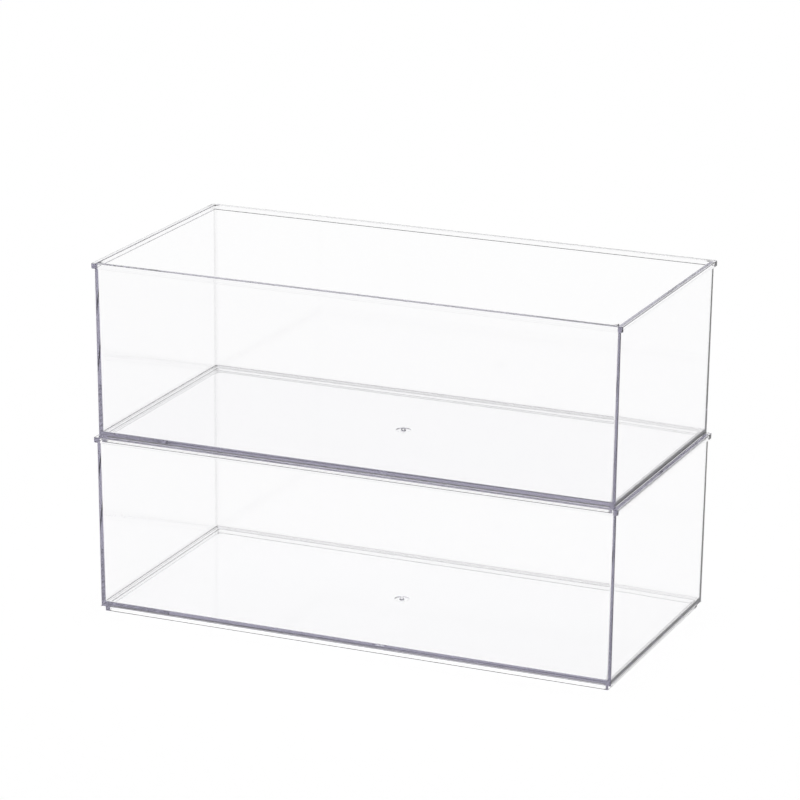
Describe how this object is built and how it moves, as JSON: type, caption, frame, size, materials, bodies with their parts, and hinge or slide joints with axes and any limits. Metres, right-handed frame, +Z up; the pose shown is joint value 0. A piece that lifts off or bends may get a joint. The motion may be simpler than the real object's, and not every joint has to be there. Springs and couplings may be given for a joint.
{
  "type": "stacking storage bin pair",
  "caption": "Clear open-top storage bins that stack, long and rectangular, with a thin rim round each mouth and a low foot that drops inside the rim of the bin below.",
  "frame": {"origin": "middle of the stack's footprint, on the surface it stands on", "axes": "+Z up, +X along the long sides, +Y from the front long side to the back one"},
  "size_m": [0.32, 0.158, 0.2091],
  "materials": {
    "clear_plastic": "clear injection moulded plastic, polished smooth, faint violet-grey tint along its edges"
  },
  "bodies": {
    "lower_bin": {"lower_bin": "clear_plastic"},
    "upper_bin": {"upper_bin": "clear_plastic"}
  },
  "joints": [
    {"name": "upper_bin_lift", "type": "slide", "parent": "lower_bin", "child": "upper_bin", "axis": [0, 0, 1], "range_m": [0, 0.12]}
  ]
}
